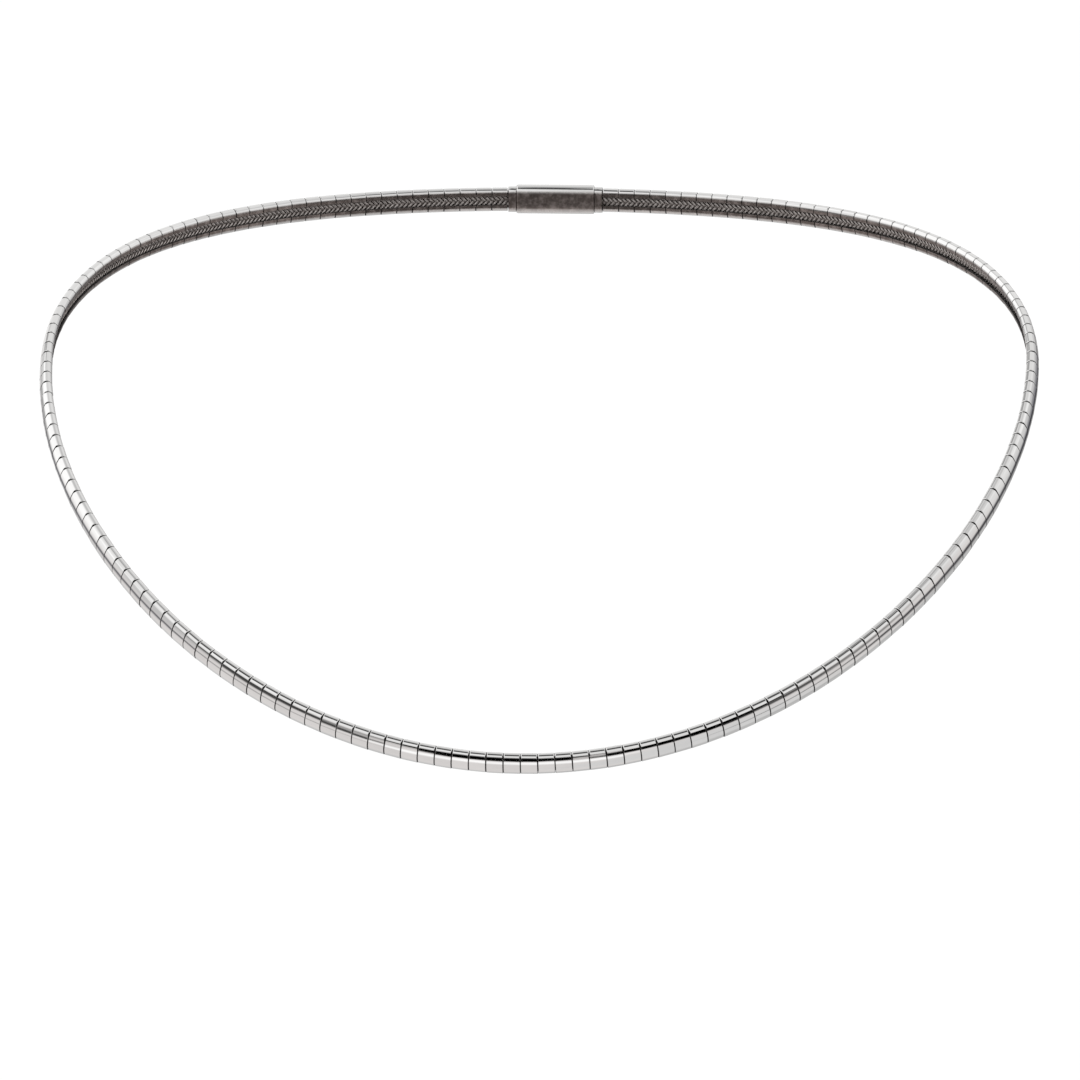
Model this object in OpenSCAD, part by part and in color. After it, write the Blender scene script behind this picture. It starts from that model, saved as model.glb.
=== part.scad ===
// Plate-on-mesh necklace, shown worn: domed plates crimped over a flat woven band.
// Millimetres. +Z is up, the front of the necklace faces -Y, and the origin is on the inner face
// of the clasp, at the middle of the nape.

/* [Loop] */
// Half width of the loop, from its middle to the line of the band
half_width = 65; // [58:0.5:76]
// Distance over the neck from the widest line to the front
front_reach = 71; // [62:0.5:82]
// Distance over the neck from the widest line to the nape
back_reach = 56.5; // [48:0.5:65]
// Slope of the loop at the front, in degrees from level
front_slope = 53; // [40:1:60]
// Slope of the loop at its widest line
side_slope = 29; // [20:1:38]
// Slope of the loop at the nape
back_slope = 5; // [2:1:15]

/* [Plates] */
// Wanted distance from one plate to the next, fitted to a whole number of plates
plate_pitch = 2.2; // [2:0.05:2.6]
// Gap between two plates along the line of the band
plate_gap = 0.16; // [0.15:0.01:0.2]
// Width of the band of plates
plate_width = 3.3; // [3.1:0.02:3.6]
// Thickness of the band of plates, from the back to the top of the dome
plate_thick = 1.56; // [1.5:0.02:1.7]
// Radius of the rolled edges of a plate
edge_radius = 0.66; // [0.6:0.01:0.7]
// Thickness of the sheet that the plates are bent from
sheet_thick = 0.22; // [0.18:0.01:0.26]
// Width of the slot at the back, between the two crimped edges
back_slot = 1.3; // [1:0.05:1.5]
// Angle by which the plates face up from the slope of the loop, at the front
front_lean = 13; // [0:1:20]
// The same angle at the sides and the nape
side_lean = 7; // [0:1:15]

/* [Woven band] */
// Width of the woven band
mesh_width = 2.46; // [2:0.02:2.5]
// Thickness of the woven band
mesh_thick = 0.76; // [0.6:0.02:0.8]
// Gap between the woven band and the crimped edges behind it
mesh_gap = 0.12; // [0.1:0.01:0.2]

/* [Clasp] */
// Length of the clasp along the nape
clasp_length = 13; // [10:0.5:16]
// How far the clasp's body stands out from the plates all round
clasp_proud = 0.36; // [0.2:0.02:0.6]
// Length of the thinner collar at each end of the clasp
collar_length = 1.2; // [0.8:0.1:2]
// How far the collars stand out from the plates all round
collar_proud = 0.14; // [0.05:0.01:0.18]
// Depth of the socket in each end of the clasp
socket_depth = 3; // [2:0.1:4]
// How far each end of the woven band goes into its socket
band_insert = 2.6; // [1.6:0.1:2.6]

/* [Hidden] */
$fn = 64;

metal_colour = [0.86, 0.86, 0.87];
mesh_colour = [0.62, 0.61, 0.60];
eps = 0.01;

// Straight run and rise of a stretch that turns evenly from one slope to another
function turn(a, b) = (b - a) * PI / 180;
function arc_run(a, b, len) = a == b ? len * cos(a) : len * (sin(b) - sin(a)) / turn(a, b);
function arc_rise(a, b, len) = a == b ? len * sin(a) : len * (cos(a) - cos(b)) / turn(a, b);

// The loop lies on a surface that is level from left to right and turns from the front slope to
// the nape's. The angle t runs from -180 at the nape, through 0 at the front, to 180.
// Distance over the surface from the front
function along(t) = cos(t) > 0 ? front_reach * (1 - cos(t)) : front_reach - back_reach * cos(t);
// Slope of the surface at distance v from the front
function slope(v) = v < front_reach
    ? front_slope + (side_slope - front_slope) * v / front_reach
    : side_slope + (back_slope - side_slope) * (v - front_reach) / back_reach;
// Depth and height of the surface at distance v, counted from the front
function run(v) = v < front_reach
    ? arc_run(front_slope, slope(v), v)
    : arc_run(front_slope, side_slope, front_reach) + arc_run(side_slope, slope(v), v - front_reach);
function rise(v) = v < front_reach
    ? arc_rise(front_slope, slope(v), v)
    : arc_rise(front_slope, side_slope, front_reach) + arc_rise(side_slope, slope(v), v - front_reach);

// Section of the plates: a dome tangent to two rolled edges, on a flat back at y = -back_depth.
// The width runs along x and the outside is at +y, with y = 0 on the line of the band.
back_depth = 0.7;
dome_top = plate_thick - back_depth;
edge_x = plate_width / 2 - edge_radius;
edge_y = edge_radius - back_depth;
dome_radius = (edge_x^2 + (edge_y - dome_top)^2 - edge_radius^2) / (2 * (dome_top - edge_y - edge_radius));
dome_y = dome_top - dome_radius;

// Directions at angle t: along the band, up off the surface, out across the surface, and then the
// way that the plates face and the way that their width runs
function unit(v) = v / norm(v);
function reach(t) = cos(t) > 0 ? front_reach : back_reach;
function heading(t) = let (v = along(t), step = reach(t) * sin(t))
    unit([half_width * cos(t), step * cos(slope(v)), step * sin(slope(v))]);
function off_surface(t) = let (a = slope(along(t))) [0, -sin(a), cos(a)];
function outward(t) = cross(heading(t), off_surface(t));
function lean(t) = side_lean + (front_lean - side_lean) * max(0, cos(t))^2;
function face(t) = outward(t) * cos(lean(t)) + off_surface(t) * sin(lean(t));
function across(t) = off_surface(t) * cos(lean(t)) - outward(t) * sin(lean(t));

// The line of the band, set so that the inner face of the clasp at the nape is at the origin
nape = 180;
total_run = run(front_reach + back_reach);
total_rise = rise(front_reach + back_reach);
nape_stand = face(nape) * (back_depth + clasp_proud);
function line(t) = let (v = along(t))
    [half_width * sin(t), run(v) - total_run, rise(v) - total_rise] + nape_stand;

// Length of the loop from the nape to each degree, and the angle at a length
degree_steps = 360;
travel = [for (i = 0, s = 0; i <= degree_steps;
    s = s + norm(line(i + 1 - nape) - line(i - nape)), i = i + 1) [s, i - nape]];
loop_length = travel[degree_steps][0];
function angle_at(s) = lookup(s, travel);

plate_count = 2 * round((loop_length - clasp_length) / plate_pitch / 2);
pitch = (loop_length - clasp_length) / plate_count;
plate_length = pitch - plate_gap;

// Puts children whose width is x, outside y and length z at a length along the loop
module at_length(s) {
    t = angle_at(s);
    e = across(t);
    f = face(t);
    h = heading(t);
    p = line(t);
    multmatrix([
        [e[0], f[0], h[0], p[0]],
        [e[1], f[1], h[1], p[1]],
        [e[2], f[2], h[2], p[2]],
        [0, 0, 0, 1]
    ]) children();
}

// The plates' outline, grown all round by a distance, or shrunk by a negative one
module band_outline(grow = 0) {
    r = edge_radius + grow;
    for (side = [-1, 1]) translate([side * edge_x, edge_y]) circle(r);
    translate([-edge_x, -back_depth - grow]) square([2 * edge_x, r]);
    intersection() {
        translate([0, dome_y]) circle(dome_radius + grow);
        polygon([
            [-edge_x, edge_y],
            [edge_x, edge_y],
            [2 * edge_x, 2 * edge_y - dome_y],
            [-2 * edge_x, 2 * edge_y - dome_y]
        ]);
    }
}

// One plate's section: the outline in sheet metal, open at the back between its crimped edges
module plate_section() {
    difference() {
        band_outline();
        band_outline(-sheet_thick);
        translate([-back_slot / 2, -back_depth - sheet_thick]) square([back_slot, 2 * sheet_thick + eps]);
    }
}

// The row of plates, from one end of the clasp round to the other
module plates() {
    color(metal_colour)
        for (i = [0 : plate_count - 1])
            at_length(clasp_length / 2 + (i + 0.5) * pitch)
                linear_extrude(plate_length, center = true) plate_section();
}

// The woven band as one solid: rings across the line of the band, one at each gap between plates
band_sides = 8;
mesh_y = mesh_thick / 2 + mesh_gap + sheet_thick - back_depth;
band_start = clasp_length / 2 - band_insert;
band_rings = plate_count + 2;
function ring_length(j) = j == 0 ? band_start
    : j == band_rings ? loop_length - band_start
    : clasp_length / 2 + (j - 1) * pitch;
function ring_points(s) = let (t = angle_at(s), e = across(t), f = face(t), p = line(t))
    [for (k = [0 : band_sides - 1]) let (a = 360 * (k + 0.5) / band_sides)
        p + e * mesh_width / 2 * cos(a) / cos(180 / band_sides)
          + f * (mesh_y + mesh_thick / 2 * sin(a) / cos(180 / band_sides))];

module mesh_band() {
    points = [for (j = [0 : band_rings]) each ring_points(ring_length(j))];
    walls = [for (j = [0 : band_rings - 1], k = [0 : band_sides - 1])
        let (a = j * band_sides + k, b = j * band_sides + (k + 1) % band_sides)
            [a, a + band_sides, b + band_sides, b]];
    start_cap = [for (k = [0 : band_sides - 1]) k];
    end_cap = [for (k = [band_sides - 1 : -1 : 0]) band_rings * band_sides + k];
    color(mesh_colour) polyhedron(points, concat(walls, [start_cap, end_cap]), convexity = 10);
}

// Puts children at the same distance from the nape on both sides of it
module both_ends(s) {
    for (place = [s, loop_length - s]) at_length(place) children();
}

// The clasp: a straight body across the nape, with a thinner collar on the line of the band at
// each end, and a socket in each end for the band
module clasp() {
    collar_middle = (clasp_length - plate_gap) / 2 - collar_length;
    color(metal_colour)
        difference() {
            union() {
                at_length(0)
                    linear_extrude(clasp_length - 2 * collar_length, center = true)
                        band_outline(clasp_proud);
                both_ends(collar_middle)
                    linear_extrude(2 * collar_length, center = true) band_outline(collar_proud);
            }
            both_ends((clasp_length - socket_depth) / 2)
                linear_extrude(socket_depth, center = true) band_outline(-sheet_thick);
        }
}

plates();
mesh_band();
clasp();
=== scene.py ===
"""Looks of a plate-on-mesh necklace, shown worn: polished plates crimped over a woven band.

Millimetres become metres through MM. +Z is up, the front of the necklace faces -Y, and the
origin is on the inner face of the clasp, at the nape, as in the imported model.
"""

import logging
import math
from dataclasses import dataclass, field
from enum import Enum
from typing import Any, Callable, Iterable, Mapping, Sequence

import bmesh
import bpy
import numpy as np
from mathutils import Matrix, Vector


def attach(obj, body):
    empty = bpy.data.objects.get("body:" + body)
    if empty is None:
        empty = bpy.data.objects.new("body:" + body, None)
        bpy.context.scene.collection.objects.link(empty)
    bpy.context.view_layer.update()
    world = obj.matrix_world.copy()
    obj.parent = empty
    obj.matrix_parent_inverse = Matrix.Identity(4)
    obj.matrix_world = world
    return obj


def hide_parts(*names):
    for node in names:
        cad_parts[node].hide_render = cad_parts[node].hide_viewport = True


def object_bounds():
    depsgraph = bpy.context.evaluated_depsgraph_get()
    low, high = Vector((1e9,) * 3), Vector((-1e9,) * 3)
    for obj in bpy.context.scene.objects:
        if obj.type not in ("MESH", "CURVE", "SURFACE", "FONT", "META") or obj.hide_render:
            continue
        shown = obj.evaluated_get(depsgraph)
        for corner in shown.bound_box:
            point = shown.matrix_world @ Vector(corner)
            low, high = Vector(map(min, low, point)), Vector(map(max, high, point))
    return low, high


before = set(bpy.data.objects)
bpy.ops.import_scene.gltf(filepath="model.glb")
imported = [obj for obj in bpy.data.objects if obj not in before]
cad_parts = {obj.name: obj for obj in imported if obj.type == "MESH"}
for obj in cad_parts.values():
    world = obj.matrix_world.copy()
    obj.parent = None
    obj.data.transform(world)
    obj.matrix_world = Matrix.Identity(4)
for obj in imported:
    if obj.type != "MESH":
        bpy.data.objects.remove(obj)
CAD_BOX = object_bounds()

MM = 0.001
SHARP_ANGLE = math.radians(32)
PLATE_UV = "plate_uv"
VECTOR = "FLOAT_VECTOR"
SOCKET_KINDS = {float: "Float", int: "Int", bpy.types.Object: "Object", bpy.types.Material: "Material"}
# Mean of a random number from 0 to 1
MEAN = 0.5
# Turn, in radians, below which a stretch counts as straight
STRAIGHT = 1e-9
Colour = tuple[float, float, float]
log = logging.getLogger("necklace")


class Slot(Enum):
    """Names of the material slots. No piece is given one here."""

    PLATE = "polished_plate"
    WIRE = "woven_wire"
    CLASP = "polished_clasp"


class Lay(Enum):
    """Way round the woven tube that a family of strands winds."""

    RIGHT = 1
    LEFT = -1


def math_method(operation: str, reflected: bool = False) -> Callable[..., "Value"]:
    """Makes a method that adds one Math node to a value's tree.

    Args:
        operation: The node's operation.
        reflected: Whether the value comes after the other term, as in 1 - value.

    Returns:
        The method.
    """
    def method(value: "Value", *others: Any) -> "Value":
        """Returns the result of the operation on the value and the other terms."""
        terms = (*others, value) if reflected else (value, *others)
        return value.tree.value("ShaderNodeMath", {"operation": operation}, dict(enumerate(terms)))

    return method


@dataclass(frozen=True)
class Value:
    """An output socket of a tree. A number takes part in sums: each operator adds its Math node."""

    tree: "NodeTree"
    socket: bpy.types.NodeSocket

    __add__, __radd__ = math_method("ADD"), math_method("ADD", True)
    __sub__, __rsub__ = math_method("SUBTRACT"), math_method("SUBTRACT", True)
    __mul__, __rmul__ = math_method("MULTIPLY"), math_method("MULTIPLY", True)
    __truediv__, __rtruediv__ = math_method("DIVIDE"), math_method("DIVIDE", True)
    sin, cos, arcsin = math_method("SINE"), math_method("COSINE"), math_method("ARCSINE")
    arctan2, absolute, sign = math_method("ARCTAN2"), math_method("ABSOLUTE"), math_method("SIGN")
    at_least, at_most = math_method("MAXIMUM"), math_method("MINIMUM")

    def __neg__(self) -> "Value":
        """Returns -self."""
        return self * -1.0

    def between(self, low: Any, high: Any) -> "Value":
        """Returns self held between low and high."""
        return self.at_least(low).at_most(high)

    def wrapped(self, low: Any, high: Any) -> "Value":
        """Returns self brought between low and high by whole turns of their difference."""
        return self.tree.value("ShaderNodeMath", {"operation": "WRAP"}, {0: self, 1: high, 2: low})

    def ease(self, start: Any, end: Any) -> "Value":
        """Returns 0 where self is at start and 1 where it is at end, with soft ends."""
        return self.tree.value("ShaderNodeMapRange", {"interpolation_type": "SMOOTHSTEP"},
                               {"Value": self, "From Min": start, "From Max": end})


@dataclass(frozen=True)
class Grain:
    """Random grain: its specks to the metre, and the number and strength of its finer layers."""

    per_metre: float
    detail: float
    roughness: float = 0.5


@dataclass
class NodeTree:
    """A shader or Geometry Nodes tree and the ways that its nodes are added."""

    tree: bpy.types.NodeTree

    def _fill(self, socket: bpy.types.NodeSocket, given: Any) -> None:
        """Links a socket to a given output, or sets it. A colour is given without its alpha."""
        given = given.socket if isinstance(given, Value) else given
        if isinstance(given, bpy.types.NodeSocket):
            self.tree.links.new(given, socket)
        else:
            socket.default_value = (*given, 1.0) if socket.type == "RGBA" else given

    def node(self, kind: str, settings: Mapping[str, Any] | None = None,
             inputs: Mapping[str | int, Any] | None = None) -> bpy.types.Node:
        """Adds a node.

        Args:
            kind: The node's type.
            settings: The node's own settings, which are set before its sockets.
            inputs: What each socket, by name or number, is linked to or set to.

        Returns:
            The node.
        """
        made = self.tree.nodes.new(kind)
        for name, setting in (settings or {}).items():
            setattr(made, name, setting)
        for key, given in (inputs or {}).items():
            self._fill(made.inputs[key], given)
        return made

    def value(self, *given: Any, output: str | int = 0) -> Value:
        """Adds a node, given as for node(), and returns one of its outputs."""
        return Value(self, self.node(*given).outputs[output])

    def scaled(self, vector: Any, factor: Any) -> Value:
        """Returns a vector times a number."""
        return self.value("ShaderNodeVectorMath", {"operation": "SCALE"}, {0: vector, "Scale": factor})

    def summed(self, first: Any, second: Any) -> Value:
        """Returns the sum of two vectors."""
        return self.value("ShaderNodeVectorMath", {"operation": "ADD"}, {0: first, 1: second})

    def blended(self, share: Any, first: Any, second: Any) -> Value:
        """Mixes two colours.

        Args:
            share: Share of the second colour, from 0 to 1.
            first: The colour at 0.
            second: The colour at 1.

        Returns:
            The mixed colour.
        """
        made = self.node("ShaderNodeMix", {"data_type": "RGBA"}, {0: share})
        for socket, given in zip((s for s in made.inputs if s.type == "RGBA"), (first, second)):
            self._fill(socket, given)
        return Value(self, next(s for s in made.outputs if s.type == "RGBA"))


class SurfaceTree(NodeTree):
    """The node tree of one finish."""

    def __init__(self, name: str) -> None:
        """Starts a material with an empty tree.

        Args:
            name: The material's name.
        """
        self.material = bpy.data.materials.new(name)
        self.material.use_nodes = True
        self.material.node_tree.nodes.clear()
        super().__init__(self.material.node_tree)

    def place(self) -> Value:
        """Returns the place on the piece, in its Object coordinates."""
        return self.value("ShaderNodeTexCoord", output="Object")

    def attribute(self, name: str) -> Value:
        """Returns a number that the piece's mesh carries."""
        return self.value("ShaderNodeAttribute", {"attribute_name": name}, output="Fac")

    def grain(self, grain: Grain, place: Any) -> Value:
        """Returns a random number from 0 to 1 that changes over a place as the grain says."""
        return self.value("ShaderNodeTexNoise", None, {
            "Vector": place, "Scale": grain.per_metre, "Detail": grain.detail,
            "Roughness": grain.roughness})

    def end(self, kind: str, inputs: Mapping[str, Any]) -> bpy.types.Material:
        """Ends the tree with a shader of a type and its inputs, and returns the material."""
        self.node("ShaderNodeOutputMaterial", None, {"Surface": self.value(kind, None, inputs)})
        return self.material


class GeometryTree(NodeTree):
    """A Geometry Nodes tree with named inputs, run once on a base object."""

    def __init__(self, name: str) -> None:
        """Starts a tree that takes a geometry and gives one.

        Args:
            name: The tree's name.
        """
        super().__init__(bpy.data.node_groups.new(name, "GeometryNodeTree"))
        self.settings: dict[str, Any] = {}
        for way in ("INPUT", "OUTPUT"):
            self.tree.interface.new_socket("Geometry", in_out=way, socket_type="NodeSocketGeometry")
        self.start = self.node("NodeGroupInput")

    def add_inputs(self, settings: Mapping[str, Any]) -> list[Value]:
        """Adds named inputs, each of the type of what it is set to.

        Args:
            settings: What the modifier sets each input to, by the input's name.

        Returns:
            The sockets that carry them inside the tree.
        """
        for name, setting in settings.items():
            kind = f"NodeSocket{SOCKET_KINDS[type(setting)]}"
            item = self.tree.interface.new_socket(name, in_out="INPUT", socket_type=kind)
            self.settings[item.identifier] = setting
        return [Value(self, self.start.outputs[name]) for name in settings]

    def attribute(self, name: str, kind: str = "FLOAT") -> Value:
        """Returns a named attribute of the geometry."""
        return self.value("GeometryNodeInputNamedAttribute", {"data_type": kind}, {"Name": name})

    def store(self, geometry: Any, name: str, given: Any, domain: str = "POINT") -> Value:
        """Returns the geometry with a number stored as a named attribute of its domain."""
        return self.value("GeometryNodeStoreNamedAttribute", {"data_type": "FLOAT", "domain": domain},
                          {"Geometry": geometry, "Name": name, "Value": given})

    def end(self, geometry: Any) -> None:
        """Ends the tree with a geometry."""
        self.node("NodeGroupOutput", None, {0: geometry})

    def run(self, base: bpy.types.Object, name: str) -> bpy.types.Object:
        """Runs the tree on a base object and keeps the result as a plain mesh.

        Args:
            base: The object whose geometry the tree takes. It is removed.
            name: Name of the piece.

        Returns:
            The piece, at the origin.
        """
        modifier = base.modifiers.new(self.tree.name, "NODES")
        modifier.node_group = self.tree
        for identifier, setting in self.settings.items():
            modifier[identifier] = setting
        depsgraph = bpy.context.evaluated_depsgraph_get()
        mesh = bpy.data.meshes.new_from_object(
            base.evaluated_get(depsgraph), preserve_all_data_layers=True, depsgraph=depsgraph)
        base.modifiers.remove(modifier)
        bpy.data.objects.remove(base)
        mesh.name = name
        return placed(mesh, name)


def placed(mesh: bpy.types.Mesh, name: str) -> bpy.types.Object:
    """Puts a mesh in the scene, with its object at the origin.

    Args:
        mesh: The mesh, in the frame's own coordinates.
        name: Name of the object.

    Returns:
        The object.
    """
    piece = bpy.data.objects.new(name, mesh)
    bpy.context.scene.collection.objects.link(piece)
    return piece


def tidied(mesh: bpy.types.Mesh) -> None:
    """Turns a mesh's faces outwards, shades it smooth and marks its sharp edges.

    Args:
        mesh: The mesh, which is changed.
    """
    work = bmesh.new()
    work.from_mesh(mesh)
    bmesh.ops.recalc_face_normals(work, faces=work.faces[:])
    for face in work.faces:
        face.smooth = True
    work.to_mesh(mesh)
    work.free()
    mesh.set_sharp_from_angle(angle=SHARP_ANGLE)


def add_attribute(mesh: bpy.types.Mesh, name: str, numbers: np.ndarray) -> None:
    """Stores a number or a vector for each vertex.

    Args:
        mesh: The mesh that gets the attribute.
        name: The attribute's name.
        numbers: An array with a row for each vertex.
    """
    vectors = numbers.ndim == 2
    made = mesh.attributes.new(name, VECTOR if vectors else "FLOAT", "POINT")
    made.data.foreach_set("vector" if vectors else "value", numbers.astype(np.float32).ravel())


def unit(vectors: np.ndarray) -> np.ndarray:
    """Returns vectors at length 1."""
    return vectors / np.linalg.norm(vectors, axis=-1, keepdims=True)


@dataclass(frozen=True)
class NecklaceLine:
    """Line of the worn band: an oval on a surface that is steep at the front and level behind.

    The angle runs from -180 degrees at the nape, through 0 at the front, to 180. Distances over
    the surface are counted from the front, and lengths along the loop from the nape.
    """

    half_width: float = 65 * MM
    front_reach: float = 71 * MM
    back_reach: float = 56.5 * MM
    front_slope: float = math.radians(53)
    side_slope: float = math.radians(29)
    back_slope: float = math.radians(5)
    front_lean: float = math.radians(13)
    side_lean: float = math.radians(7)
    nape_stand: float = 1.06 * MM
    clasp_length: float = 13 * MM
    steps: int = 360

    def along(self, angle: np.ndarray) -> np.ndarray:
        """Returns the distance over the surface from the front."""
        return self.front_reach - self.reach(angle) * np.cos(angle)

    def reach(self, angle: np.ndarray) -> np.ndarray:
        """Returns how far the oval reaches from its widest line, towards the front or the nape."""
        return np.where(np.cos(angle) > 0, self.front_reach, self.back_reach)

    def slope(self, distance: np.ndarray) -> np.ndarray:
        """Returns the surface's slope at a distance from the front."""
        return np.interp(distance, (0.0, self.front_reach, self.front_reach + self.back_reach),
                         (self.front_slope, self.side_slope, self.back_slope))

    @staticmethod
    def arc(start: float, end: np.ndarray, length: np.ndarray) -> np.ndarray:
        """Works out how far a stretch that turns evenly goes.

        Args:
            start: Slope where it starts.
            end: Slope where it ends.
            length: Its length.

        Returns:
            How far it runs and how far it rises.
        """
        turned = np.where(np.abs(end - start) < STRAIGHT, STRAIGHT, end - start)
        return length * np.stack([np.sin(end) - np.sin(start), np.cos(start) - np.cos(end)]) / turned

    def surface(self, distance: np.ndarray) -> np.ndarray:
        """Returns the run and the rise of the surface at a distance from the front."""
        near = np.minimum(distance, self.front_reach)
        far = np.maximum(distance, self.front_reach)
        return (self.arc(self.front_slope, self.slope(near), near)
                + self.arc(self.side_slope, self.slope(far), far - self.front_reach))

    def axes(self, angle: np.ndarray) -> tuple[np.ndarray, np.ndarray, np.ndarray]:
        """Works out the band's directions.

        Args:
            angle: Angles round the loop.

        Returns:
            The way that the width runs, the way that the plates face, and the way along the band.
        """
        slope = self.slope(self.along(angle))
        step = self.reach(angle) * np.sin(angle)
        heading = unit(np.stack(
            [self.half_width * np.cos(angle), step * np.cos(slope), step * np.sin(slope)], axis=-1))
        off_surface = np.stack([np.zeros_like(slope), -np.sin(slope), np.cos(slope)], axis=-1)
        outward = np.cross(heading, off_surface)
        to_front = np.maximum(0, np.cos(angle)) ** 2
        lean = (self.side_lean + (self.front_lean - self.side_lean) * to_front)[..., None]
        across = off_surface * np.cos(lean) - outward * np.sin(lean)
        facing = outward * np.cos(lean) + off_surface * np.sin(lean)
        return across, facing, heading

    def points(self, angle: np.ndarray) -> np.ndarray:
        """Returns points on the line, with the clasp's inner face at the origin."""
        run, rise = self.surface(self.along(angle))
        total_run, total_rise = self.surface(self.front_reach + self.back_reach)
        nape_facing = self.axes(np.array([math.pi]))[1][0]
        line = np.stack([self.half_width * np.sin(angle), run - total_run, rise - total_rise], axis=-1)
        return line + nape_facing * self.nape_stand

    def travel(self) -> tuple[np.ndarray, np.ndarray]:
        """Returns the lengths from the nape at each degree, and those degrees in radians."""
        angle = np.linspace(-math.pi, math.pi, self.steps + 1)
        chords = np.linalg.norm(np.diff(self.points(angle), axis=0), axis=1)
        return np.concatenate([[0.0], np.cumsum(chords)]), angle

    def length(self) -> float:
        """Returns the length of the whole loop."""
        return float(self.travel()[0][-1])

    def at(self, lengths: np.ndarray) -> "Stations":
        """Returns the places on the line at lengths from the nape."""
        travelled, angle = self.travel()
        angles = np.interp(lengths, travelled, angle)
        return Stations(lengths, self.points(angles), *self.axes(angles))


@dataclass(frozen=True)
class Stations:
    """Places along the line, each with a point and three directions at right angles."""

    lengths: np.ndarray
    points: np.ndarray
    across: np.ndarray
    facing: np.ndarray
    heading: np.ndarray

    def base(self, name: str, joined: bool) -> bpy.types.Object:
        """Makes the object that a Geometry Nodes tree starts from.

        Args:
            name: Name of the object.
            joined: Whether edges join the points into one line.

        Returns:
            An object with a vertex at each place, which carries its directions and length.
        """
        mesh = bpy.data.meshes.new(name)
        count = len(self.points)
        edges = [(i, i + 1) for i in range(count - 1)] if joined else []
        mesh.from_pydata([tuple(p) for p in self.points], edges, [])
        for key in ("across", "facing", "heading"):
            add_attribute(mesh, key, getattr(self, key))
        add_attribute(mesh, "length", self.lengths)
        return placed(mesh, name)


@dataclass(frozen=True)
class BandSection:
    """Section of the plates: a dome tangent to two rolled edges, on a flat back.

    The width runs along x and the outside is at +y, with y = 0 on the line of the band.
    """

    width: float = 3.3 * MM
    thick: float = 1.56 * MM
    edge_radius: float = 0.66 * MM
    back_depth: float = 0.7 * MM
    sheet: float = 0.22 * MM
    edge_steps: int = 6
    edge_grading: float = 0.3
    dome_steps: int = 4

    @property
    def edge_centre(self) -> tuple[float, float]:
        """Centre of the rolled edge at +x."""
        return self.width / 2 - self.edge_radius, self.edge_radius - self.back_depth

    @property
    def dome(self) -> tuple[float, float]:
        """Radius of the dome and height of its centre."""
        edge_x, edge_y = self.edge_centre
        top = self.thick - self.back_depth
        reach = edge_x**2 + (edge_y - top)**2 - self.edge_radius**2
        radius = reach / (2 * (top - edge_y - self.edge_radius))
        return radius, top - radius

    def outline(self, grow: float, back_reach: float, edge_steps: int | None = None) -> np.ndarray:
        """Draws the outline from the middle of the back, round by +x and the dome, and back.

        Args:
            grow: How far out the outline is moved.
            back_reach: Distance from the middle at which the outline starts and ends.
            edge_steps: Steps round each rolled edge, where they aren't the section's own.

        Returns:
            The points, a row each.
        """
        edge_x, edge_y = self.edge_centre
        dome_radius, dome_y = self.dome
        meet = math.atan2(edge_y - dome_y, edge_x)
        roll = self.edge_radius + grow
        share = np.linspace(0, 1, (edge_steps or self.edge_steps) + 1)
        graded = share + self.edge_grading * share * (1 - share)
        turn = -math.pi / 2 + (meet + math.pi / 2) * graded
        rolled = np.stack([edge_x + roll * np.cos(turn), edge_y + roll * np.sin(turn)], axis=1)
        sweep = np.linspace(meet, math.pi / 2, self.dome_steps // 2 + 1)[1:]
        domed = np.stack([np.cos(sweep), np.sin(sweep)], axis=1) * (dome_radius + grow) + [0, dome_y]
        half = np.concatenate([[[back_reach, -self.back_depth - grow]], rolled, domed])
        return np.concatenate([half, half[-2::-1] * [-1, 1]])

    def outward(self, back_reach: float, edge_steps: int | None = None) -> np.ndarray:
        """Returns the way that each point of the outline faces."""
        return self.outline(1.0, back_reach, edge_steps) - self.outline(0.0, back_reach, edge_steps)


@dataclass(frozen=True)
class RoundSection:
    """A number that changes round the section, given at some of the directions that it faces.

    The directions are in degrees from the upper side, and 90 is the outside.
    """

    facing: tuple[float, ...]
    numbers: tuple[float, ...]

    def at(self, outward: np.ndarray) -> np.ndarray:
        """Returns the number for each of some directions."""
        facing = np.degrees(np.arctan2(outward[:, 1], outward[:, 0]))
        return np.interp(facing, self.facing, self.numbers)


# Share of the duller finish that the inner face has, next to the skin, where it is also painted
# darker and browner as the shade and reflection of the neck
INNER_FACE = RoundSection((-130, -105, -80, -60), (0.0, 1.0, 1.0, 0.0))


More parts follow.
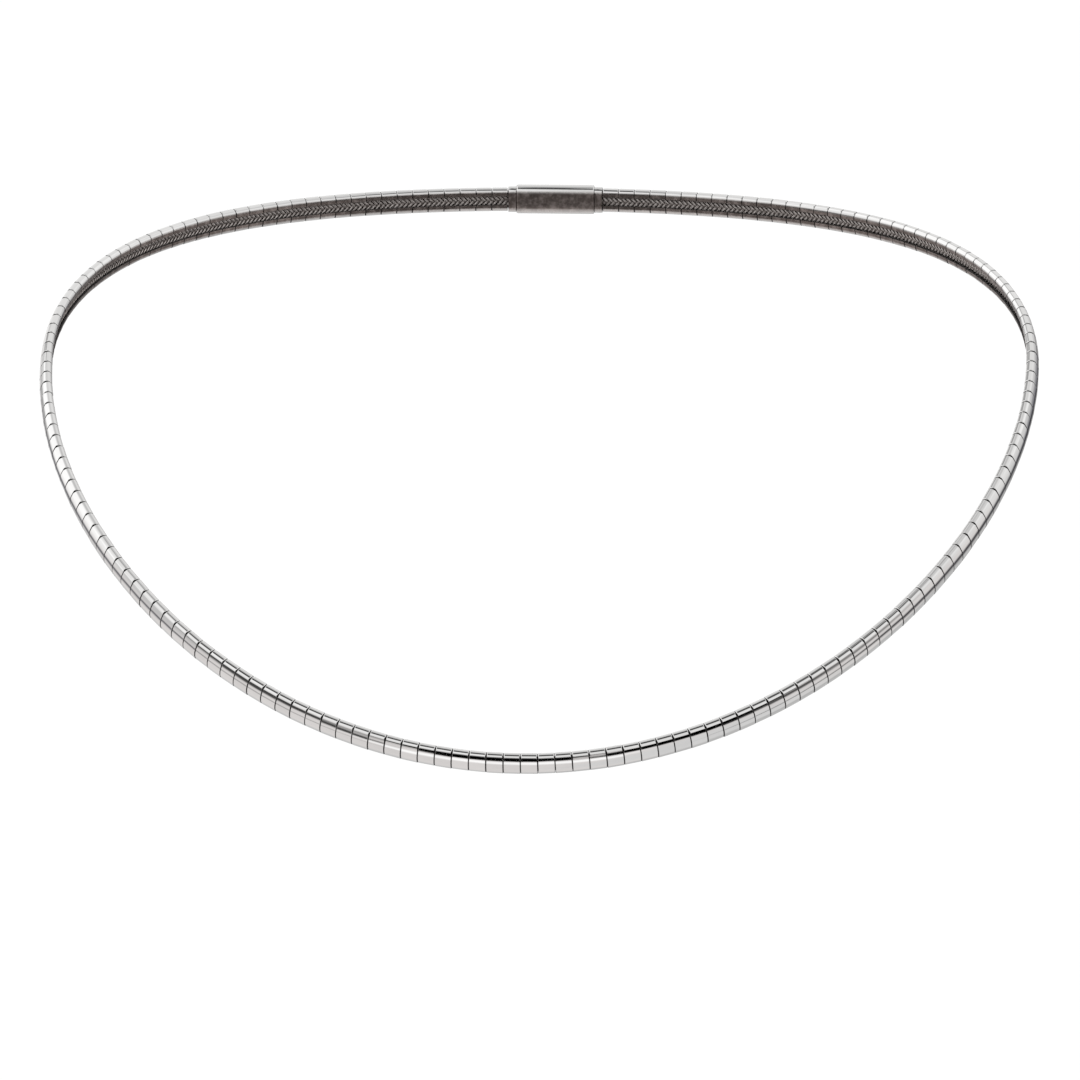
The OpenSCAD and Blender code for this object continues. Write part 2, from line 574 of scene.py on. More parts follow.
@dataclass(frozen=True)
class PolishedMetal:
    """Polished white metal with fine drawn lines, soft hand waviness and a tone for each plate.

    The mesh says where the metal is on the inner face, which is duller, and painted darker and
    browner as the shade and reflection of the neck, and where it is at a joint, which holds dark
    grime and painted shade of the gap: more of it on some plates than on others.
    """

    name: str
    follows_uv: bool = True
    colour: Colour = (0.70, 0.695, 0.69)
    tone_spread: float = 0.12
    plate_weight: float = 0.55
    line_weight: float = 1.4
    wear_weight: float = 0.4
    roughness: float = 0.07
    line_roughness: float = 0.06
    wear_roughness: float = 0.05
    dull_wear: tuple[float, float] = (0.52, 0.75)
    lines: Grain = Grain(1.0, 3.0, 0.6)
    lines_along: float = 700.0
    lines_across: float = 9000.0
    line_height: float = 0.0004 * MM
    waves: Grain = Grain(420.0, 1.0)
    wave_height: float = 0.006 * MM
    wear: Grain = Grain(1400.0, 4.0, 0.65)
    # Near black at the joints: grime, and the painted shade of the gaps between plates
    grime: Colour = (0.05, 0.048, 0.048)
    grime_and_shade_from: float = 0.66
    grime_and_shade_spread: float = 0.36
    grime_and_shade_soft: float = 0.06
    # Painted shade and brown reflection of the neck on the inner face, paler where worn
    inner: Colour = (0.15, 0.125, 0.115)
    inner_worn: Colour = (0.30, 0.26, 0.245)
    inner_wear: tuple[float, float] = (0.38, 0.70)
    inner_roughness: float = 0.28

    def make(self) -> bpy.types.Material:
        """Returns the material."""
        tree = SurfaceTree(self.name)
        place = tree.place()
        drawn = tree.value("ShaderNodeUVMap", {"uv_map": PLATE_UV}) if self.follows_uv else place
        stretch = (self.lines_along, self.lines_across, 1.0 if self.follows_uv else self.lines_across)
        mapped = tree.value("ShaderNodeMapping", None, {"Vector": drawn, "Scale": stretch})
        line = tree.grain(self.lines, mapped)
        wave = tree.grain(self.waves, place)
        worn = tree.grain(self.wear, place)
        tone = tree.attribute("plate_tone")
        inner = tree.attribute("inner")
        uneven = line - MEAN
        bright = tone * self.plate_weight + uneven * self.line_weight + worn * self.wear_weight
        dark = [channel * (1 - self.tone_spread) for channel in self.colour]
        outside = tree.blended(bright.between(0.0, 1.0), dark, self.colour)
        inner_painted_shade = tree.blended(worn.ease(*self.inner_wear), self.inner, self.inner_worn)
        # The joint's grime and painted shade, which reach further on some plates than on others
        edge = self.grime_and_shade_from + (tone - MEAN) * self.grime_and_shade_spread
        joint_grime_and_shade = tree.attribute("joint").ease(edge - self.grime_and_shade_soft, edge + self.grime_and_shade_soft)
        rough = self.roughness + uneven * self.line_roughness + inner * self.inner_roughness
        waved = tree.value("ShaderNodeBump", None, {
            "Strength": 1.0, "Distance": self.wave_height, "Height": wave})
        lined = tree.value("ShaderNodeBump", None, {
            "Strength": 1.0, "Distance": self.line_height, "Height": line, "Normal": waved})
        return tree.end("ShaderNodeBsdfPrincipled", {
            "Base Color": tree.blended(joint_grime_and_shade, tree.blended(inner, outside, inner_painted_shade), self.grime),
            "Metallic": 1.0, "Roughness": rough + worn.ease(*self.dull_wear) * self.wear_roughness,
            "Normal": lined})


@dataclass(frozen=True)
class CreviceMetal:
    """Insides of the plates and joint walls: unpolished, painted near black as shade, grey with old
    polish.
    """

    name: str = "unpolished_crevice"
    # Near black: painted shade in the joints and inside the plates
    colour: Colour = (0.06, 0.058, 0.058)
    pale: float = 2.2
    pale_from: tuple[float, float] = (0.45, 0.8)
    metallic: float = 0.8
    roughness: float = 0.55
    grime_roughness: float = 0.15
    grime: Grain = Grain(2600.0, 3.0)

    def make(self) -> bpy.types.Material:
        """Returns the material."""
        tree = SurfaceTree(self.name)
        grime = tree.grain(self.grime, tree.place())
        pale = [channel * self.pale for channel in self.colour]
        return tree.end("ShaderNodeBsdfPrincipled", {
            "Base Color": tree.blended(grime.ease(*self.pale_from), self.colour, pale),
            "Metallic": self.metallic, "Roughness": self.roughness + grime * self.grime_roughness})


@dataclass(frozen=True)
class WireMetal:
    """Woven flat strands: bright where they ride over the others, dull with painted shade below."""

    name: str = "woven_wire_finish"
    bright: Colour = (0.56, 0.52, 0.50)
    # Colour of the painted shade below the crossings
    dull: Colour = (0.145, 0.119, 0.108)
    ride_weight: float = 0.75
    wire_weight: float = 0.15
    grime_weight: float = 1.1
    lit_and_clean_from: tuple[float, float] = (-0.45, 1.0)
    roughness: float = 0.48
    polish: float = 0.22
    wires_per_strand: int = 3
    groove_height: float = 0.02 * MM
    groove_strength: float = 0.8
    grime: Grain = Grain(1500.0, 4.0)

    def make(self) -> bpy.types.Material:
        """Returns the material."""
        tree = SurfaceTree(self.name)
        grime = tree.grain(self.grime, tree.place()) - MEAN
        # A strand's wires are seen on both its faces, so they come twice in one turn round it
        wires = (tree.attribute("around") * (2 * 2 * math.pi * self.wires_per_strand)).cos()
        # Painted shade: darker where the strand dips under the others and between its wires, with
        # random grime
        ridden = tree.attribute("ride") * self.ride_weight + wires * self.wire_weight
        lit_and_clean = (ridden + grime * self.grime_weight).ease(*self.lit_and_clean_from)
        grooved = tree.value("ShaderNodeBump", None, {
            "Strength": self.groove_strength, "Distance": self.groove_height, "Height": wires})
        return tree.end("ShaderNodeBsdfPrincipled", {
            "Base Color": tree.blended(lit_and_clean, self.dull, self.bright),
            "Metallic": 1.0, "Roughness": self.roughness - lit_and_clean * self.polish,
            "Normal": grooved})


@dataclass(frozen=True)
class PaleFloor:
    """Matt off-white of the studio floor."""

    name: str = "pale_floor"
    colour: Colour = (0.92, 0.92, 0.92)

    def make(self) -> bpy.types.Material:
        """Returns the material."""
        return SurfaceTree(self.name).end("ShaderNodeBsdfDiffuse", {"Color": self.colour})


@dataclass(frozen=True)
class Plate:
    """One domed plate: a C section in sheet metal with crimped edges behind.

    It stands at the origin, its width along x, its outside at +y and its length along z. Round the
    section it changes how far in from the ends their rounding starts, how far back the ends are
    cut, and how dark the ends are painted, as grime and as the shade in the joints.
    """

    section: BandSection
    length: float
    taper: float = 0.02
    back_slot: float = 1.3 * MM
    rounding: RoundSection = RoundSection(
        (-90, -60, 30, 63), (0.085 * MM, 0.13 * MM, 0.13 * MM, 0.085 * MM))
    cut: RoundSection = RoundSection(
        (-50, -29, -2, 22, 44, 63, 80), (0.0, 0.0, 0.02 * MM, 0.06 * MM, 0.05 * MM, 0.01 * MM, 0.0))
    # How dark the ends are painted round the section: grime, and the painted shade of the joints
    grime: RoundSection = RoundSection(
        (-180, -100, -80, 22, 44, 63, 90, 180), (3.1, 2.1, 0.5, 0.5, 1.7, 2.5, 2.9, 3.6))
    end_drop: float = 0.045 * MM
    rounded_to: float = math.radians(60)
    inner_steps: int = 3

    def outward(self, edge_steps: int | None = None) -> np.ndarray:
        """Returns the way that each point of a ring faces."""
        return self.section.outward(self.back_slot / 2, edge_steps)

    def _ring(self, end: int, inset: float | np.ndarray, grow: float,
              edge_steps: int | None = None) -> np.ndarray:
        """Draws one ring round the plate.

        Args:
            end: The end that the ring is near, -1 or 1.
            inset: How far the ring is from that end.
            grow: How far it is out from the section's outline.
            edge_steps: Steps round each rolled edge, where they aren't the section's own.

        Returns:
            The ring's points in space.
        """
        flat = self.section.outline(grow, self.back_slot / 2, edge_steps)
        cut = self.cut.at(self.outward(edge_steps))
        reach = self.length / 2 - inset - cut + self.taper * flat[:, 1]
        return np.column_stack([flat, end * reach])

    @staticmethod
    def _way_round(ring: np.ndarray) -> np.ndarray:
        """Returns how far each point of a ring is from its first point, along the ring."""
        steps = np.linalg.norm(np.diff(ring[:, :2], axis=0), axis=1)
        return np.concatenate([[0.0], np.cumsum(steps)])

    @staticmethod
    def _strip(near: Sequence[int], far: Sequence[int]) -> list[list[int]]:
        """Returns the faces between two rings of as many points."""
        return [[near[i], near[i + 1], far[i + 1], far[i]] for i in range(len(near) - 1)]

    def build(self) -> bpy.types.Object:
        """Makes the plate from two rings at each end outside, and one at each end inside.

        Returns:
            The plate, with a UV map in metres over its surface.
        """
        outward = self.outward()
        rounding = self.rounding.at(outward)
        rings = [
            self._ring(-1, 0.0, -self.end_drop),
            self._ring(-1, rounding, 0.0),
            self._ring(1, rounding, 0.0),
            self._ring(1, 0.0, -self.end_drop),
            self._ring(-1, 0.0, -self.section.sheet, self.inner_steps),
            self._ring(1, 0.0, -self.section.sheet, self.inner_steps)]
        verts = np.concatenate(rings)
        # The numbers of each ring's points
        numbers = np.split(np.arange(len(verts)), np.cumsum([len(ring) for ring in rings])[:-1])
        start, *_, end, inner_start, inner_end = numbers
        polished = sum(map(self._strip, numbers[:3], numbers[1:4]), [])
        hidden = self._strip(inner_end, inner_start)
        hidden += [[*inner_start, *start[::-1]], [*end, *inner_end[::-1]]]
        hidden += [[ring[side] for ring in (*numbers[:4], inner_end, inner_start)] for side in (0, -1)]
        mesh = bpy.data.meshes.new("one_plate")
        mesh.from_pydata([tuple(v) for v in verts], [], polished + hidden)
        inside = [False] * len(polished) + [True] * len(hidden)
        mesh.attributes.new("inside", "BOOLEAN", "FACE").data.foreach_set("value", inside)
        # Grime and painted shade at the ends, where the plates meet in the joints
        grime = self.grime.at(outward)
        unmarked = np.zeros(len(verts) - 4 * len(grime))
        add_attribute(mesh, "joint", np.concatenate([grime, grime * 0, grime * 0, grime, unmarked]))
        # The inner face gets its duller finish and its painted shade and reflection of the neck
        add_attribute(mesh, "inner", np.concatenate([np.tile(INNER_FACE.at(outward), 4), unmarked]))
        around = np.concatenate([self._way_round(ring) for ring in rings])
        uv = mesh.uv_layers.new(name=PLATE_UV)
        for loop in mesh.loops:
            uv.data[loop.index].uv = (verts[loop.vertex_index][2], around[loop.vertex_index])
        tidied(mesh)
        return placed(mesh, "one_plate")

    def shading(self, mesh: bpy.types.Mesh) -> np.ndarray:
        """Works out the direction that each corner of the plate's faces is shaded in.

        Args:
            mesh: The plate's mesh. Its hidden faces are shaded flat, the others as rounded off
                towards the plate's ends.

        Returns:
            A direction for each corner.
        """
        outward = self.outward()
        tilt = np.array([-1.0, 0.0, 0.0, 1.0])[:, None] * self.rounded_to
        sideways = outward[None] * np.cos(tilt)[..., None]
        lengthways = np.broadcast_to(np.sin(tilt), (4, len(outward)))
        rounded = np.concatenate([sideways, lengthways[..., None]], axis=2).reshape(-1, 3)
        shaded = np.zeros((len(mesh.loops), 3))
        for face, hidden in zip(mesh.polygons, mesh.attributes["inside"].data):
            for corner, vertex in zip(face.loop_indices, face.vertices):
                shaded[corner] = face.normal if hidden.value else rounded[vertex]
        return shaded

    def axes(self, spots: np.ndarray) -> np.ndarray:
        """Works out which way some copies of the plate are turned.

        Args:
            spots: Where each copy's points are: its number, then the point's, then x, y and z.

        Returns:
            Each copy's three axes.
        """
        ring = len(self.outward())
        upper = spots[:, ring] + spots[:, 2 * ring]
        lower = spots[:, 2 * ring - 1] + spots[:, 3 * ring - 1]
        width = unit(upper - lower)
        length = unit(spots[:, 2 * ring] - spots[:, ring])
        return np.stack([width, np.cross(length, width), length], axis=1)


@dataclass
class PlateRow:
    """The row of plates from one end of the clasp round to the other, each turned a little."""

    line: NecklaceLine
    section: BandSection
    wanted_pitch: float = 2.2 * MM
    gap: float = 0.04 * MM
    roll_jitter: float = math.radians(1.3)
    turn_jitter: float = math.radians(0.3)
    tip_jitter: float = math.radians(0.8)
    seed: int = 11
    finish: PolishedMetal = field(default_factory=lambda: PolishedMetal("polished_plate_finish"))
    # Painted shade on the hidden faces: the plates' insides and the walls of the joints
    inside: CreviceMetal = field(default_factory=CreviceMetal)

    @property
    def count(self) -> int:
        """Number of plates."""
        return 2 * round((self.line.length() - self.line.clasp_length) / self.wanted_pitch / 2)

    @property
    def pitch(self) -> float:
        """Distance from one plate to the next."""
        return (self.line.length() - self.line.clasp_length) / self.count

    def _tree(self, plate: bpy.types.Object) -> GeometryTree:
        """Builds the tree that puts a plate at each place on the line.

        Args:
            plate: The plate.

        Returns:
            The tree.
        """
        tree = GeometryTree("plates along the line")
        shape, roll, turn, tip, seed, finish, inside = tree.add_inputs({
            "Plate": plate, "Roll jitter": self.roll_jitter, "Turn jitter": self.turn_jitter,
            "Tip jitter": self.tip_jitter, "Seed": self.seed,
            "Finish": self.finish.make(), "Inside finish": self.inside.make()})
        lined_up = {"primary_axis": "Z", "secondary_axis": "Y"}
        straight = tree.value("FunctionNodeAxesToRotation", lined_up, {
            "Primary Axis": tree.attribute("heading", VECTOR),
            "Secondary Axis": tree.attribute("facing", VECTOR)})
        limits = tree.value("ShaderNodeCombineXYZ", None, {"X": tip, "Y": turn, "Z": roll})
        jitter = tree.value("FunctionNodeRandomValue", {"data_type": VECTOR},
                            {"Min": tree.scaled(limits, -1.0), "Max": limits, "Seed": seed})
        turned = tree.value("FunctionNodeEulerToRotation", None, {0: jitter})
        rotation = tree.value("FunctionNodeRotateRotation", {"rotation_space": "LOCAL"},
                              {0: straight, 1: turned})
        source = tree.value("GeometryNodeObjectInfo", None,
                            {"Object": shape, "As Instance": True}, output="Geometry")
        plates = tree.value("GeometryNodeInstanceOnPoints", None, {
            "Points": tree.start.outputs[0], "Instance": source, "Rotation": rotation})
        tone = tree.value("FunctionNodeRandomValue", {"data_type": "FLOAT"},
                          {"Seed": seed + 1}, output=1)
        toned = tree.store(plates, "plate_tone", tone, "INSTANCE")
        real = tree.value("GeometryNodeRealizeInstances", None, {0: toned})
        polished = tree.value("GeometryNodeSetMaterial", None, {0: real, "Material": finish})
        tree.end(tree.value("GeometryNodeSetMaterial", None, {
            0: polished, "Selection": tree.attribute("inside", "BOOLEAN"), "Material": inside}))
        return tree

    def build(self) -> bpy.types.Object:
        """Returns the row of plates as one piece, shaded as its plate is."""
        plate = Plate(self.section, self.pitch - self.gap)
        sample = plate.build()
        shading = plate.shading(sample.data)
        lengths = self.line.clasp_length / 2 + (np.arange(self.count) + 0.5) * self.pitch
        row = self._tree(sample).run(self.line.at(lengths).base("plate_places", False), "plate_row")
        bpy.data.objects.remove(sample)
        spots = np.empty(len(row.data.vertices) * 3)
        row.data.vertices.foreach_get("co", spots)
        axes = plate.axes(spots.reshape(self.count, -1, 3))
        turned = unit(np.einsum("ca,pav->pcv", shading, axes)).reshape(-1, 3)
        row.data.normals_split_custom_set(turned.tolist())
        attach(row, "root")
        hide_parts("plates")
        return row


@dataclass
class WovenBand:
    """The band under the plates: a flattened tube of flat strands, two over and two under."""

    line: NecklaceLine
    width: float = 2.46 * MM
    thick: float = 0.76 * MM
    middle: float = 0.02 * MM
    insert: float = 2.6 * MM
    strands: int = 8
    winding: float = 5.2 * MM
    strand_width: float = 0.4 * MM
    strand_thick: float = 0.1 * MM
    lift: float = 0.058 * MM
    step: float = 0.19 * MM
    sides: int = 5
    finish: WireMetal = field(default_factory=WireMetal)

    def _tree(self, lay: Lay, finish: bpy.types.Material) -> GeometryTree:
        """Builds the tree that winds one family of strands round the tube.

        Args:
            lay: The way round that they wind.
            finish: Their material.

        Returns:
            The tree.
        """
        tree = GeometryTree(f"strands laid {lay.name.lower()}")
        edge, flat, middle = tree.add_inputs({
            "Edge radius": self.thick / 2 - self.lift - self.strand_thick / 2,
            "Flat width": self.width - self.thick, "Middle": self.middle})
        hand, strands, winding, lift = tree.add_inputs({
            "Hand": float(lay.value), "Strands": self.strands, "Winding": self.winding,
            "Lift": self.lift})
        wide, thick, sides, material = tree.add_inputs({
            "Strand width": self.strand_width, "Strand thickness": self.strand_thick,
            "Strand sides": self.sides, "Finish": finish})

        # Each strand's way round the tube, counted from the middle of its edge at +x
        line = tree.value("GeometryNodeMeshToCurve", None, {0: tree.start.outputs[0]})
        copies = tree.node("GeometryNodeDuplicateElements", {"domain": "SPLINE"},
                           {"Geometry": line, "Amount": strands}).outputs
        numbered = tree.store(copies[0], "strand", copies[1])
        strand = tree.attribute("strand")
        quarter = edge * (math.pi / 2)
        half_way = flat + quarter * 2
        turns = tree.attribute("length") / winding * hand
        side = ((turns + strand / strands) * (half_way * 2)).wrapped(-half_way, half_way)
        way = side.absolute()
        first_bend = (way / edge).between(0.0, math.pi / 2)
        bend = first_bend + ((way - (flat + quarter)) / edge).between(0.0, math.pi / 2)
        out_x, out_y = bend.cos(), bend.sin() * side.sign()

        # The wave lifts the strand over two strands of the other family and drops it under two.
        # It is half a crossing out of step, so both strands of a pair are crossed at one height
        wave = (((turns + turns) * strands + strand * 2 - 0.5) * (math.pi / 2)).cos() * hand
        reach = edge + wave * lift
        x = flat / 2 - (way - quarter).between(0.0, flat) + out_x * reach
        y = out_y * reach + middle
        across, facing = tree.attribute("across", VECTOR), tree.attribute("facing", VECTOR)
        offset = tree.summed(tree.scaled(across, x), tree.scaled(facing, y))
        normal = tree.summed(tree.scaled(across, out_x), tree.scaled(facing, out_y))

        # The wave is kept as the ride, which the finish paints as shade where the strand dips under.
        # A ring of width 1 takes the strand's width and thickness, and is swept along it
        ridden = tree.store(numbered, "ride", wave)
        wound = tree.value("GeometryNodeSetPosition", None, {0: ridden, "Offset": offset})
        turned = tree.value("GeometryNodeSetCurveNormal", {"mode": "FREE"},
                            {0: wound, "Normal": normal})
        ring = tree.value("GeometryNodeCurvePrimitiveCircle", {"mode": "RADIUS"},
                          {"Resolution": sides, "Radius": 0.5})
        size = tree.value("ShaderNodeCombineXYZ", None, {"X": thick, "Y": wide, "Z": 1.0})
        flattened = tree.value("GeometryNodeTransform", None, {0: ring, "Scale": size})
        share = tree.value("GeometryNodeSplineParameter", output="Factor")
        ringed = tree.store(flattened, "around", share)
        swept = tree.value("GeometryNodeCurveToMesh", None, {0: turned, 1: ringed, "Fill Caps": True})
        smooth = tree.value("GeometryNodeSetShadeSmooth", None, {0: swept})
        real = tree.value("GeometryNodeRealizeInstances", None, {0: smooth})
        tree.end(tree.value("GeometryNodeSetMaterial", None, {0: real, "Material": material}))
        return tree

    def build(self) -> list[bpy.types.Object]:
        """Returns the two families of strands, a piece each."""
        start = self.line.clasp_length / 2 - self.insert
        places = self.line.at(np.arange(start, self.line.length() - start, self.step))
        finish = self.finish.make()
        pieces = []
        for lay in Lay:
            base = places.base("strand_places", True)
            piece = self._tree(lay, finish).run(base, f"strands_laid_{lay.name.lower()}")
            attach(piece, "root")
            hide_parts("mesh_band")
            pieces.append(piece)
        return pieces


@dataclass
class Clasp:
    """The plain clasp: a straight body with rounded ends, and a collar for each end of the band."""

    line: NecklaceLine
    section: BandSection
    proud: float = 0.36 * MM
    collar_length: float = 1.2 * MM
    collar_proud: float = 0.14 * MM
    gap: float = 0.16 * MM
    socket_depth: float = 2.8 * MM
    corner: float = 0.2 * MM
    lip: float = 0.07 * MM
    corner_steps: int = 4
    finish: PolishedMetal = field(default_factory=lambda: PolishedMetal(
        "polished_clasp_finish", roughness=0.12, wave_height=0.004 * MM, follows_uv=False))

    @property
    def back_reach(self) -> float:
        """Distance from the middle of the back at which the rings start and end."""
        return self.section.edge_centre[0] / 2

    def _ring(self, station: Stations, z: float, grow: float) -> np.ndarray:
        """Returns a ring at z along a station's heading, out from the plates' outline by grow."""
        flat = self.section.outline(grow, self.back_reach)
        return (station.points[0] + flat[:, :1] * station.across[0] + flat[:, 1:] * station.facing[0]
                + z * station.heading[0])

    def _half(self, side: int) -> list[np.ndarray]:
        """Lists the rings from the middle of the clasp to the bottom of one socket.

        Args:
            side: 1 for the end where the loop's length starts, -1 for the other.

        Returns:
            The rings.
        """
        middle = self.line.at(np.array([0.0]))
        # The body stands at the clasp's middle, and a collar at the middle of its own length
        reach = (self.line.clasp_length - self.gap) / 2 - self.collar_length
        collar = self.line.at(np.array([reach if side > 0 else self.line.length() - reach]))
        body_end = self.line.clasp_length / 2 - self.collar_length
        turns = np.linspace(0, math.pi / 2, self.corner_steps + 1)
        insets = [(1 - math.sin(turn), 1 - math.cos(turn)) for turn in turns]
        places = [(middle, body_end - self.corner * back, self.proud - self.corner * down)
                  for back, down in insets]
        places.append((collar, self.corner, self.collar_proud))
        places += [(collar, self.collar_length - self.lip * back, self.collar_proud - self.lip * down)
                   for back, down in insets[::2]]
        places += [(collar, z, -self.section.sheet)
                   for z in (self.collar_length, self.collar_length - self.socket_depth)]
        return [self._ring(station, side * z, grow) for station, z, grow in places]

    def build(self) -> bpy.types.Object:
        """Returns the clasp as one closed piece."""
        rings = self._half(-1)[::-1] + self._half(1)
        count = len(rings[0])
        starts = range(0, (len(rings) - 1) * count, count)
        corners = [(start + i, start + (i + 1) % count) for start in starts for i in range(count)]
        faces = [(a, b, b + count, a + count) for a, b in corners]
        faces += [range(count), range(starts.stop, starts.stop + count)]
        mesh = bpy.data.meshes.new("clasp_shell")
        mesh.from_pydata([tuple(p) for p in np.concatenate(rings)], [], faces)
        # The clasp's inner face gets the duller finish and the painted shade and reflection of the
        # neck
        inner = INNER_FACE.at(self.section.outward(self.back_reach))
        add_attribute(mesh, "inner", np.tile(inner, len(rings)))
        tidied(mesh)
        mesh.materials.append(self.finish.make())
        piece = placed(mesh, "clasp_shell")
        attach(piece, "root")
        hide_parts("clasp")
        return piece


@dataclass(frozen=True)
class Patch:
    """A bright or dark area on the wall of the light tent, in degrees.

    The azimuth is 0 towards the camera's side, -Y, and 90 towards +X. The edge fades over the soft
    width each way, the strength is the share of the light behind that the area hides, and the
    slant is how much it rises for each degree of azimuth.
    """

    azimuth: float
    half_width: float
    elevation: float
    half_height: float
    radiance: float
    soft: float = 5.0
    strength: float = 1.0
    slant: float = 0.0
    tint: Colour = (1.0, 1.0, 1.0)

    def over(self, tree: NodeTree, azimuth: Value, elevation: Value, light: Value) -> Value:
        """Lays the patch over the tent's light.

        Args:
            tree: The world's tree.
            azimuth: Azimuth of the direction that is looked in.
            elevation: Its elevation.
            light: The light so far.

        Returns:
            The light with the patch.
        """
        away = (azimuth - self.azimuth).wrapped(-180.0, 180.0)
        high = (elevation - self.elevation - away * self.slant).absolute()
        wide = away.absolute().ease(self.half_width + self.soft, self.half_width - self.soft)
        inside = wide * high.ease(self.half_height + self.soft, self.half_height - self.soft)
        colour = [self.radiance * channel for channel in self.tint]
        return tree.blended(inside * self.strength, light, colour)


@dataclass
class LightTent:
    """Soft light from a white tent all round, with the dark opening that the camera looks in by.

    The polished metal mirrors the tent. The floor gets its light evenly from all sides.
    """

    even: float = 1.12
    wall: Colour = (1.08, 1.08, 1.075)
    ground: Colour = (0.99, 0.96, 0.95)
    horizon_soft: float = 8.0
    patches: Sequence[Patch] = (
        # Ceiling, and the brighter and duller stretches of the wall
        Patch(180, 180, 90, 20, 0.8, 8),
        Patch(-100, 40, 66, 8, 0.98, 9),
        Patch(-108, 32, 30, 34, 1.5, 12),
        Patch(-42, 24, 34, 16, 1.3, 10),
        Patch(-16, 14, 30, 14, 1.22, 10),
        Patch(45, 22, 16, 18, 1.16, 10),
        Patch(88, 14, 26, 12, 1.2, 10),
        Patch(118, 10, 38, 20, 1.3, 10),
        Patch(140, 18, 10, 26, 0.84, 10),
        Patch(60, 24, 52, 14, 0.8, 10, 0.8),
        Patch(-78, 18, -8, 10, 0.68, 8, 0.8),
        Patch(170, 14, 8, 12, 0.78, 8, 1.0, 0.0, (1.03, 1.0, 1.0)),
        # Gap in the ceiling above the camera, and a seam behind on the left
        Patch(-14, 22, 66, 16, 0.02, 6, 0.94),
        Patch(26, 24, 56, 11, 0.04, 7, 0.94, -0.2),
        Patch(-8, 60, 79, 6, 0.2, 5, 0.6),
        Patch(-141, 4, 38, 24, 0.2, 5, 0.8),
        # Duller stretches of the ground
        Patch(95, 55, -62, 22, 0.94, 12),
        Patch(180, 36, -36, 16, 0.76, 10),
        Patch(155, 28, -34, 20, 0.68, 8),
        Patch(-158, 14, -14, 8, 0.72, 8),
        Patch(164, 14, -7, 8, 0.34, 8, 0.9),
        # Dark line where the walls meet the ground, on the left and on the right
        Patch(-123, 34, -15, 4, 0.05, 5, 0.9, -0.3, (0.9, 1.0, 1.5)),
        Patch(-144, 6, 2, 6, 0.3, 5, 0.8),
        Patch(-83, 13, -38, 4, 0.2, 8, 0.8, -1.1),
        Patch(126, 36, -14, 6.5, 0.04, 6, 0.95, 0.4, (1.0, 0.95, 1.2)),
        Patch(145, 8, 4, 7, 0.06, 6, 0.6, 0.0, (0.9, 0.9, 1.4)),
        Patch(88, 11, -41, 4, 0.1, 7, 0.9, 1.25),
        # Opening round the camera: its black parts, the gaps between them and its two wings
        Patch(-8, 19, -22.5, 21, 0.0, 3),
        Patch(32.5, 17.5, -24, 17, 0.0, 3, 1.0, 0.3),
        Patch(-6, 9, 3, 9, 0.12, 7, 0.85),
        Patch(-47, 6, -27, 18, 0.05, 4, 0.97),
        Patch(-36, 8, -20, 10, 0.35, 6, 0.8),
        Patch(-59, 11, -15, 14, 0.04, 5, 0.95, -0.2),
        Patch(57, 10, -22, 8, 0.05, 5, 0.92, 0.4),
        Patch(73, 8, -15, 7, 0.15, 7, 0.85, 0.6),
        # White card below the camera
        Patch(-12, 44, -54, 6, 1.5, 6),
    )

    def build(self) -> bpy.types.World:
        """Returns the world that lights the scene."""
        world = bpy.data.worlds.new("light_tent")
        world.use_nodes = True
        world.node_tree.nodes.clear()
        tree = NodeTree(world.node_tree)
        way = tree.value("ShaderNodeTexCoord", output="Generated")
        x, y, z = (Value(tree, s) for s in tree.node("ShaderNodeSeparateXYZ", None, {0: way}).outputs)
        elevation = z.arcsin() * math.degrees(1)
        azimuth = x.arctan2(-y) * math.degrees(1)
        above = elevation.ease(-self.horizon_soft, self.horizon_soft)
        light = tree.blended(above, self.ground, self.wall)
        for patch in self.patches:
            light = patch.over(tree, azimuth, elevation, light)
        tent = tree.value("ShaderNodeBackground", None, {"Color": light})
        even = tree.value("ShaderNodeBackground", None, {"Color": (self.even,) * 3})
        mirrored = tree.value("ShaderNodeLightPath", output="Is Glossy Ray")
        seen = tree.value("ShaderNodeMixShader", None, {0: mirrored, 1: even, 2: tent})
        tree.node("ShaderNodeOutputWorld", None, {"Surface": seen})
        world.cycles.sampling_method = "NONE"
        bpy.context.scene.world = world
        return world


@dataclass
class Studio:
    """The pale floor below the necklace and the view transform."""

    drop: float = 0.16
    reach: float = 20.0
    finish: PaleFloor = field(default_factory=PaleFloor)

    def build(self) -> bpy.types.Object:
        """Returns the floor."""
        z = CAD_BOX[0].z - self.drop
        mesh = bpy.data.meshes.new("floor")
        corners = [(-1, -1), (1, -1), (1, 1), (-1, 1)]
        mesh.from_pydata([(x * self.reach, y * self.reach, z) for x, y in corners], [], [(0, 1, 2, 3)])
        mesh.materials.append(self.finish.make())
        floor = placed(mesh, "floor")
        floor.visible_glossy = False
        bpy.context.scene.view_settings.view_transform = "Standard"
        return floor


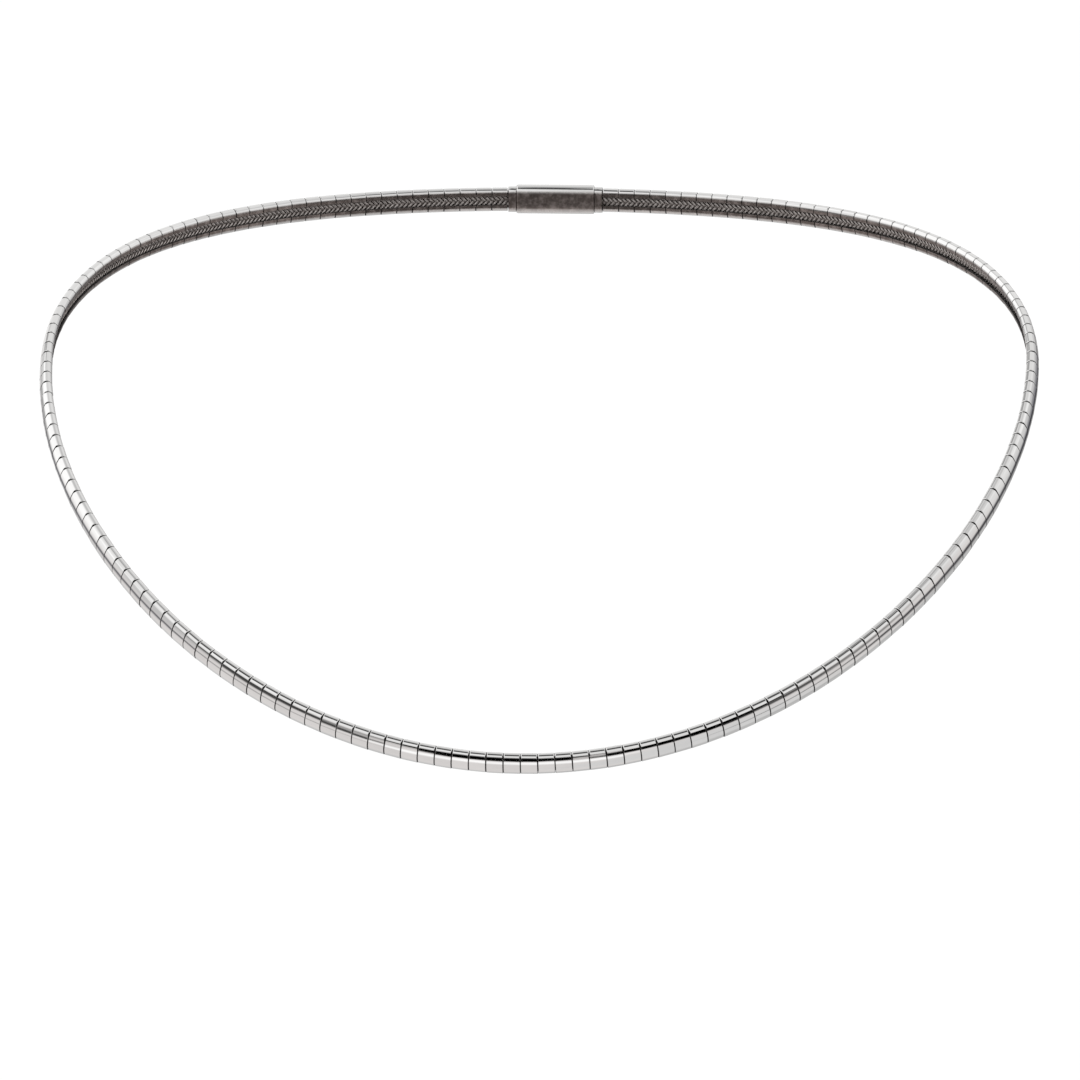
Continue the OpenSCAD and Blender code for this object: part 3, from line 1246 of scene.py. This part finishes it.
@dataclass
class PhotoCamera:
    """The camera at the photograph's viewing angle.

    It stands in front of the necklace, a little towards +X, and looks slightly down. The picture's
    middle is aimed above the front of the band. Its angles are in radians.
    """

    elevation: float = math.radians(8)
    yaw: float = 0.039
    roll: float = -0.011
    distance: float = 1540 * MM
    pivot_depth: float = 45 * MM
    frame_width: float = 138.24 * MM
    sensor: float = 36.0
    aim_right: float = 0.72 * MM
    aim_up: float = 28.65 * MM
    clip: tuple[float, float] = (0.05, 100.0)

    def build(self, front: np.ndarray) -> bpy.types.Object:
        """Places the camera.

        Args:
            front: The front point of the necklace's line.

        Returns:
            The camera.
        """
        tilted = Matrix.Rotation(math.pi / 2 - self.elevation, 3, "X")
        turned = tilted @ Matrix.Rotation(self.yaw, 3, "Y") @ Matrix.Rotation(-self.roll, 3, "Z")
        right, up, behind = turned.transposed()
        pivot = Vector(front) - tilted.col[2] * self.pivot_depth
        place = pivot + behind * (self.distance + self.pivot_depth)
        back = (behind * self.distance - right * self.aim_right - up * self.aim_up).normalized()
        true_right = up.cross(back).normalized()
        aimed = Matrix((true_right, back.cross(true_right), back)).transposed()
        data = bpy.data.cameras.new("photo_camera")
        data.sensor_width = self.sensor
        data.lens = self.sensor * self.distance / self.frame_width
        data.clip_start, data.clip_end = self.clip
        camera = bpy.data.objects.new("photo_camera", data)
        bpy.context.scene.collection.objects.link(camera)
        camera.matrix_world = Matrix.Translation(place) @ aimed.to_4x4()
        bpy.context.scene.camera = camera
        return camera


def report(pieces: Iterable[bpy.types.Object]) -> None:
    """Logs each piece's name and how many triangles it has.

    Args:
        pieces: The pieces.
    """
    for piece in pieces:
        piece.data.calc_loop_triangles()
        log.info("%s: %d triangles", piece.name, len(piece.data.loop_triangles))


def main() -> None:
    """Builds the camera, the studio and the pieces of the necklace."""
    logging.basicConfig(level=logging.INFO, format="%(message)s")
    line, section = NecklaceLine(), BandSection()
    PhotoCamera().build(line.points(np.array([0.0]))[0])
    LightTent().build()
    Studio().build()
    report([PlateRow(line, section).build()])
    report(WovenBand(line).build())
    report([Clasp(line, section).build()])


if __name__ == "__main__":
    main()
